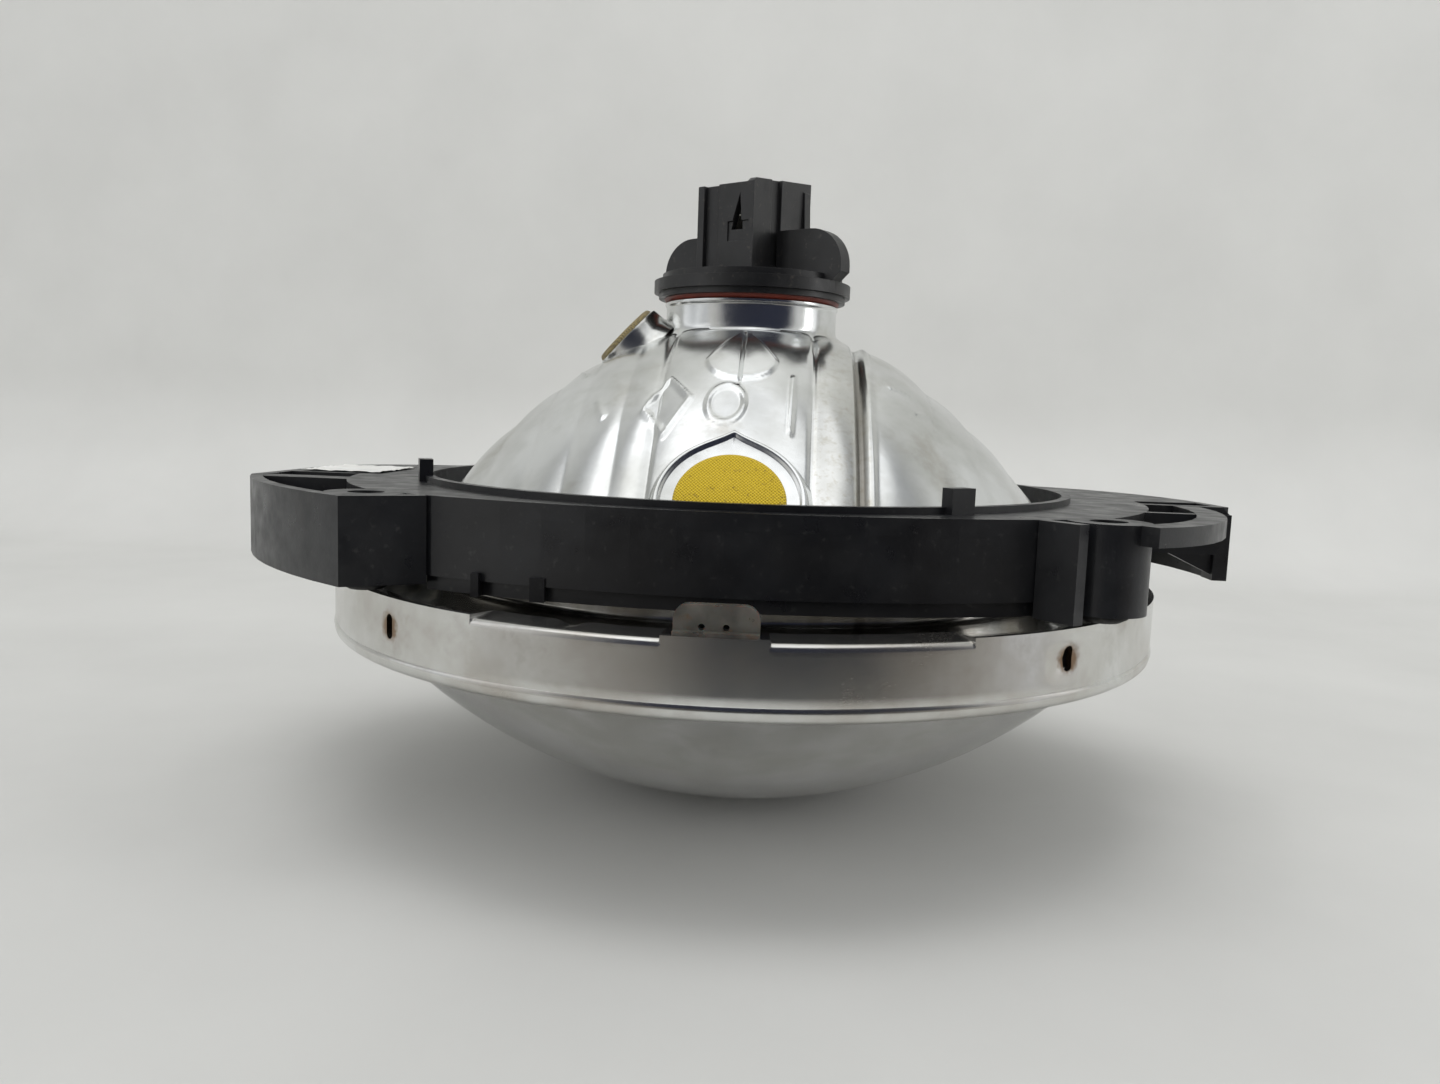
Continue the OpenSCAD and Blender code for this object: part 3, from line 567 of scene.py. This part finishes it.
def rear_vent_seat():
    """The raised collar under the rear vent: a turned profile that widens into the bowl."""
    profile = [[2.5, 0.0], [5.2, 0.0], [5.5, -0.15], [5.6, -0.5], [5.7, -2.0], [6.3, -3.2], [7.0, -3.9], [2.5, -3.9]]
    az = np.linspace(0, 2 * math.pi, 72, endpoint=False)
    P = turned(revolved(profile, az), REAR_AXES, REAR_VENT_C)
    grid_piece("rear_vent_seat", P, "lamp", metallised, wrap_v=True, flip=True)


rear_vent_seat()


def vent_disc(name, node, axes, centre, r, material):
    """A die-cut disc of vent cloth, 0.8 thick, highest at its middle and rounded down at its stuck edge."""
    thick, edge = 0.78, 0.5
    flat_r = r - edge
    rho = np.concatenate([np.linspace(0.001, flat_r, 14), flat_r + edge * np.sin(np.linspace(0, math.pi / 2, 5)[1:])])
    rounding = np.sqrt(np.clip(1 - ((rho - flat_r) / 0.52) ** 2, 0.02, 1))
    top = thick * np.where(rho > flat_r, rounding, 1.0) - 0.08 * smooth(0.2 * r, 0.7 * r, rho)
    profile = np.concatenate([np.stack([rho, top], -1), [[r, 0.02], [0.001, 0.02]]])
    az = np.linspace(0, 2 * math.pi, 96, endpoint=False)
    P = turned(revolved(profile, az), axes, centre)
    grid_piece(name, P, "lamp", material, wrap_v=True, flip=True, replaces=(node,))


vent_disc("front_vent_cloth", "front_vent_membrane", FRONT_AXES, VENT_C, VENT_R, mustard_cloth)
# The rear cloth's darker khaki colours are painted shade on the mustard cloth.
vent_disc("rear_vent_cloth", "rear_vent_membrane", REAR_AXES, REAR_VENT_C, REAR_VENT_R, shaded_mustard_cloth)

# ---- Bezel ----

def bezel_shell():
    """The rolled strip as one closed shell: its middle line runs out along the lip, round the lower corner, up the wall
    and, beside the clips, round the crimp and inward; both skins are that line moved by half the sheet along its
    normal. Two angles close together at each end of a crimp make a clean cut there."""
    edge = math.radians(0.06)
    az = np.radians(np.linspace(-180, 180, 900, endpoint=False))
    cuts = [wrapped(c + side * off + e) for c in CRIMPS for side in (-1, 1) for off in (CRIMP_FROM, CRIMP_TO)
            for e in (-edge, edge)]
    az = np.unique(np.concatenate([az, cuts]))
    fold = crimp_share(az)[:, None]
    # lower lip and corner, the same all round
    low = np.concatenate([[[52.9, 24.35], [54.6, 24.35], [56.5, 24.35]], arc_points((57.1, 25.4), 1.05, -85, 0, 7)])
    z = np.array([25.5, 25.6, 25.7, 25.8, 25.9, 26.1, 27.0, 28.2, 29.4, 30.4, 31.1, 31.55])
    wall_r = 58.0 + 0.13 * smooth(25.8, 25.55, z) - 0.09 * bump(z - 25.78, 0.22)
    line = np.concatenate([low, np.stack([wall_r, z], -1)])
    line = np.broadcast_to(line, (len(az),) + line.shape).copy()
    wave = 0.035 * np.sin(3 * az + 0.7) + 0.03 * np.sin(7 * az + 2.1) + 0.018 * np.sin(17 * az + 0.4)
    upper = 8
    line[:, upper:, 0] += wave[:, None] - 0.05
    # the top: a bend of up to 82 degrees and then a straight run, or straight up where there is no crimp
    crimp_bend, crimp_r = math.radians(82), 0.5
    share = np.linspace(0, 1, 7)[1:]
    bend = crimp_bend * share[None] * fold
    bend_r = line[:, -1:, 0] - crimp_r * (1 - np.cos(bend))
    bend_z = z[-1] + crimp_r * (fold * np.sin(bend) + (1 - fold) * share)
    run = np.linspace(0.12, 1, 6)[None] * (0.73 + 2.17 * fold)
    turn = bend[:, -1:]
    run_r = bend_r[:, -1:] - np.sin(turn) * run
    run_z = bend_z[:, -1:] + np.cos(turn) * run
    dent_at, dent_width = math.radians(-106.3), math.radians(1.2)
    dent = np.exp(-(wrapped(az - dent_at) / dent_width) ** 2)[:, None]
    ripple = 0.03 * np.sin(az[:, None] * 37) * np.sin(az[:, None] * 23 + 1)
    run_z = run_z - fold * np.linspace(0, 1, 6) * (0.5 * dent + 0.04 + ripple)
    top = np.stack([np.concatenate([bend_r, run_r], 1), np.concatenate([bend_z, run_z], 1)], -1)
    line = np.concatenate([line, top], 1)
    # pressed hollow round the right slot
    hollow_at, hollow_half, hollow_z, hollow_half_z = math.radians(-50.2), math.radians(3.2), 29.3, 2.3
    hollow = bump(wrapped(az - hollow_at), hollow_half)[:, None] * bump(line[..., 1] - hollow_z, hollow_half_z)
    line[..., 0] -= 0.55 * hollow
    # both skins, kept inside the CAD's outline
    step = np.gradient(line, axis=1)
    length = np.linalg.norm(step, axis=-1)
    same = length < 1e-9
    step[same] = (0, 1)
    length[same] = 1
    normal = np.stack([step[..., 1], -step[..., 0]], -1) / length[..., None]
    loop = np.concatenate([line + SHEET / 2 * normal, (line - SHEET / 2 * normal)[:, ::-1]], 1)
    loop[..., 0] = np.minimum(loop[..., 0], BEZEL_R)
    loop[..., 1] = np.clip(loop[..., 1], 24.0, BEZEL_TOP)
    P = np.stack([loop[..., 0] * np.cos(az)[:, None], loop[..., 0] * np.sin(az)[:, None], loop[..., 1]], -1)
    return grid_piece("bezel_shell", P, "lamp", stainless, wrap_v=True, crease=40,
                      replaces=("bezel_ring",))


def cut_slots(obj):
    """Cuts the three upright oval slots through the bezel's wall with oval plugs, each of two rings of n points."""
    n = 32
    a = np.linspace(0, 2 * math.pi, n, endpoint=False)
    points, faces = [], []
    for slot in SLOTS:
        radial, across = np.array([math.cos(slot), math.sin(slot), 0]), np.array([-math.sin(slot), math.cos(slot), 0])
        side = SLOT_HALF_WIDTH * np.cos(a)
        rise = SLOT_HALF_WIDTH * np.sin(a) + SLOT_HALF_RUN * np.sign(np.sin(a))
        k = len(points) * n
        for r in (55.0, 60.0):
            points.append(radial * r + side[:, None] * across + rise[:, None] * np.array([0, 0, 1]) + [0, 0, SLOT_Z])
        faces += [[k + i, k + (i + 1) % n, k + n + (i + 1) % n, k + n + i] for i in range(n)]
        faces += [list(range(k, k + n))[::-1], list(range(k + n, k + 2 * n))]
    mesh = bpy.data.meshes.new("slot_plugs")
    mesh.from_pydata((np.concatenate(points) * MM).tolist(), [], faces)
    plug = linked("slot_plugs", mesh)
    cut = obj.modifiers.new("slots", "BOOLEAN")
    cut.operation, cut.solver, cut.object = "DIFFERENCE", "EXACT", plug
    bpy.context.view_layer.update()
    result = bpy.data.meshes.new_from_object(obj.evaluated_get(bpy.context.evaluated_depsgraph_get()))
    obj.modifiers.clear()
    old, obj.data = obj.data, result
    bpy.data.meshes.remove(old)
    bpy.data.objects.remove(plug)
    result.name = "bezel_shell"
    result.shade_smooth()
    result.set_sharp_from_angle(angle=math.radians(40))


cut_slots(bezel_shell())

# ---- Lens, seal, clips and brackets: CAD pieces as they are, and others with softened edges ----

for node, material in (("lens", lens_glass), ("lens_seal", rubber), ("glass_capsule", quartz),
                       ("capsule_cap", bulb_paint), ("pivot_pins", plated), ("filament_supports", tungsten),
                       ("bulb_o_ring", silicone), ("bulb_seat", galvanised), ("lug_rivets", plated),
                       ("bulb_collar", nickel)):
    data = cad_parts[node].data
    data.materials.clear()
    data.materials.append(material)

softened("nylon_clips", "lens_clips", "lamp", nylon_clip, 0.12)
softened("pivot_lug_plates", "pivot_lugs", "lamp", galvanised, 0.15)
softened("pivot_bush_pair", "pivot_bushes", "lamp", natural_nylon, 0.12)
softened("nut_bracket_plate", "nut_bracket", "lamp", galvanised, 0.15)
softened("adjuster_nut_block", "adjuster_nut", "lamp", natural_nylon, 0.2)
softened("carrier_moulding", "carrier", "carrier_frame", black_moulding, 0.22)
softened("rim_buffer_pair", "rim_buffers", "carrier_frame", rubber, 0.12)
softened("screw_clip", "adjuster_clip", "adjuster", plated, 0.1)
softened("bulb_holder", "bulb_base", "bulb", grey_socket, 0.22)
softened("socket_shell", "connector_socket", "bulb", grey_socket, 0.2)
softened("live_blade", "terminal_live", "bulb", tinned, 0.15)
softened("earth_blade", "terminal_earth", "bulb", tinned, 0.15)


def aim_screw():
    """The aiming screw: a cross-recessed head over a shank, whose radius follows a triangle wave of
    z / pitch - angle / 360 below the thread's end."""
    screw_r, pitch, thread_depth, tip_z, thread_end = 2.5, 2.0, 0.45, 34.3, 41.0
    az = np.linspace(0, 2 * math.pi, 96, endpoint=False)
    z = np.concatenate([np.linspace(tip_z, thread_end, 90), np.linspace(41.2, 46.45, 6)])
    phase = (z[None] / pitch - az[:, None] / (2 * math.pi)) % 1
    depth = thread_depth * np.abs(2 * phase - 1) * smooth(thread_end, 40.2, z)[None]
    taper = 0.5 * smooth(35.2, tip_z, z)[None]
    r = screw_r - np.maximum(depth, taper)
    shank = np.stack([r * np.cos(az)[:, None], r * np.sin(az)[:, None], np.broadcast_to(z, r.shape)], -1)
    head_r = np.array([2.5, 3.7, 3.92, 4.0, 4.0, 3.9, 3.6, 3.2])
    head_z = np.array([46.5, 46.5, 46.56, 46.75, 48.8, 49.15, 49.38, 49.48])
    head = revolved(np.stack([head_r, head_z], -1), az)
    top_r = np.linspace(3.0, 0.02, 26)
    top = revolved(np.stack([top_r, np.full(26, 49.5)], -1), az)
    recess_half, recess_reach, recess_depth = 0.55, 2.6, 1.5
    x, y = np.abs(top[..., 0]), np.abs(top[..., 1])
    recess = (np.minimum(x, y) < recess_half) & (np.maximum(x, y) < recess_reach)
    top[..., 2] -= np.where(recess, recess_depth, 0.0)
    base = revolved([[0.02, tip_z]], az)
    P = np.concatenate([base, shank, head, top], 1) + np.array([0, AIM_Y, 0])
    grid_piece("aim_screw", P, "adjuster", plated, crease=30, replaces=("adjuster_screw",))


aim_screw()


def coiled_filament():
    """The filament: a coil of wire about Z, between its two posts."""
    turns, coil_r, wire_r, middle_z, half_length = 14, 0.55, 0.1, 50.3, 2.05
    t = np.linspace(0, turns * 2 * math.pi, turns * 20)
    z = np.linspace(middle_z - half_length, middle_z + half_length, len(t))
    path = np.stack([coil_r * np.cos(t), coil_r * np.sin(t), z], -1)
    tube(path, wire_r, 8, "coiled_filament", "bulb", tungsten, ("filament",))


coiled_filament()


def crinkled_label():
    """The blank label on the left ear: a thin film, flat at its middle and lifted in shallow waves near its edges."""
    x0, x1, y0, y1, gap, film, lift = -66, -54, -6, 10, 0.05, 0.05, 0.144
    u, v = np.meshgrid(np.linspace(x0, x1, 61), np.linspace(y0, y1, 81), indexing="ij")
    edge = np.minimum(np.minimum(u - x0, x1 - u), np.minimum(v - y0, y1 - v))
    wave = np.sin(u * 1.9 + v * 0.6) + 0.7 * np.sin(v * 2.3 - u * 0.9 + 1) + 0.5 * np.sin(u * 4.1 + v * 3.3)
    z = DECK_TOP + gap + lift * smooth(3.0, 0.0, edge) * (1 + 0.6 * wave / 2.2)
    top = np.stack([u, v, z + film], -1)
    bottom = np.stack([u, v, z], -1)
    P = np.concatenate([top, bottom[:, ::-1]], 1)
    grid_piece("crinkled_label", P, "carrier_frame", label_film, wrap_u=False, wrap_v=True, flip=True,
               crease=0, replaces=("ear_label",))


crinkled_label()

# ---- Studio ----

CAM_YAW, CAM_PITCH, CAM_ROLL = math.radians(3.5) + 0.001, 0.115, 0.035
level = math.cos(CAM_PITCH)
forward = Vector((-math.sin(CAM_YAW) * level, math.cos(CAM_YAW) * level, -math.sin(CAM_PITCH)))
right = forward.cross(Vector((0, 0, 1))).normalized()
up = right.cross(forward)
cam_x = right * math.cos(CAM_ROLL) + up * math.sin(CAM_ROLL)
cam_y = up * math.cos(CAM_ROLL) - right * math.sin(CAM_ROLL)
camera_data = bpy.data.cameras.new("camera")
camera_data.lens, camera_data.sensor_width = 27.08, 36
camera_data.clip_start, camera_data.clip_end = 0.005, 20
camera = linked("camera", camera_data)
camera_turn = Matrix((cam_x, cam_y, -forward)).transposed().to_4x4()
camera.matrix_world = Matrix.Translation((6.7 * MM, -163.2 * MM, 54.5 * MM)) @ camera_turn
bpy.context.scene.camera = camera


def staged(name, P, material):
    """A grid of points P[u, v] in millimetres that belongs to the studio and not to the lamp."""
    mesh = bpy.data.meshes.new(name)
    mesh.from_pydata((P.reshape(-1, 3) * MM).tolist(), [], quads(*P.shape[:2]).tolist())
    mesh.materials.append(material)
    obj = linked(name, mesh)
    return obj


def studio_floor():
    """A pale board that runs back and curves up into a wall: a profile in Y and Z carried along X."""
    path = np.concatenate([[[-1500.0, 0.0], [-600, 0], [-200, 0], [0, 0], [150, 0]],
                           arc_points((215, 65), 65, -90, 0, 14), [[280, 200], [280, 500], [280, 1200]]])
    x = np.broadcast_to(np.linspace(-1600, 1600, 9)[:, None], (9, len(path)))
    P = np.stack([x, *(np.broadcast_to(path[:, k], x.shape) for k in (0, 1))], -1)
    staged("pale_floor", P, plain_finish("painted_board", "#d0d0cd", "#c9c9c6", 0.75, 60)).data.shade_smooth()


studio_floor()


def lamp_area(name, place, target, size, power):
    """A soft white light of the given width and height at place, aimed at target, its power in watts."""
    data = bpy.data.lights.new(name, "AREA")
    data.shape, data.size, data.size_y, data.energy = "RECTANGLE", size[0] * MM, size[1] * MM, power
    obj = linked(name, data)
    obj.location = Vector(place) * MM
    obj.rotation_mode = "QUATERNION"
    obj.rotation_quaternion = (Vector(target) - Vector(place)).to_track_quat("-Z", "Y")
    return obj


lamp_area("overhead_softbox", (-50, -80, 900), (0, 0, 30), (900, 900), 1.5)
lamp_area("wall_wash", (0, -60, 760), (0, 280, 330), (400, 400), 1.2).visible_glossy = False
lamp_area("left_softbox", (-660, -614, 330), (0, 0, 50), (200, 600), 1.1)
lamp_area("right_softbox", (890, -157, 330), (0, 0, 50), (300, 600), 1.5)


def painted_reflection_card():
    """A dim screen at the front, seen only in reflections, whose greys are painted reflections of the shaded floor and
    the dark things in front of the lamp: a strip just above the floor that turns up into a wall.
    Its grey follows the angle round Z, in the stops below on the strip and in another ramp high on the wall."""
    stops = ((-145, "#bcbbb8"), (-130, "#b0afab"), (-117, "#97948f"), (-105, "#7a7671"), (-97, "#55524f"),
             (-91, "#2c2c2e"), (-62, "#28292c"), (-54, "#6b6763"), (-43, "#8e8a85"), (-34, "#a19e99"),
             (-24, "#cbccce"), (-12, "#c0c0bf"))
    first, last = stops[0][0], stops[-1][0]
    mat = bpy.data.materials.new("painted_reflection_screen")
    mat.use_nodes = True
    tree = mat.node_tree
    tree.nodes.clear()
    axes = add(tree, "SeparateXYZ", {"Vector": add(tree, "TexCoord").outputs["Object"]}).outputs
    angle = math_node(tree, "ARCTAN2", axes["Y"], axes["X"])
    share = math_node(tree, "MULTIPLY_ADD", angle, math.degrees(1) / (last - first), -first / (last - first))
    low = ramp(tree, share, *(((a - first) / (last - first), c) for a, c in stops))
    high = ramp(tree, share, (0.08, "#b4b3b0"), (0.17, "#252836"), (0.80, "#252836"), (0.90, "#c8c8c6"))
    rise = math_node(tree, "DIVIDE", math_node(tree, "SUBTRACT", axes["Z"], 20 * MM), 25 * MM, clamp=True)
    glow = add(tree, "Emission", {"Color": mix(tree, rise, low, high)})
    add(tree, "OutputMaterial", {"Surface": glow.outputs[0]})
    profile = [[130, 1.0], [150, 1.0], [170, 1.0], [184, 1.0], [190, 6], [190, 30], [190, 60], [190, 150], [190, 260]]
    card = staged("painted_reflection_card", revolved(profile, np.radians(np.linspace(first, last, 61))), mat)
    card.visible_camera = card.visible_diffuse = card.visible_shadow = card.visible_transmission = False


painted_reflection_card()

world = bpy.data.worlds.new("pale_studio")
world.use_nodes = True
tree = world.node_tree
tree.nodes.clear()
room = noise(tree, add(tree, "TexCoord").outputs["Object"], 550, 2, 0.4)
clouds = ramp(tree, room, (0.36, "#a3a5a7"), (0.5, "#dfe0e1"), (0.64, "#ffffff"))
sky = add(tree, "Background", {"Color": clouds, "Strength": 1.03})
add(tree, "OutputWorld", {"Surface": sky.outputs[0]})
bpy.context.scene.world = world
bpy.context.scene.view_settings.view_transform = "Standard"
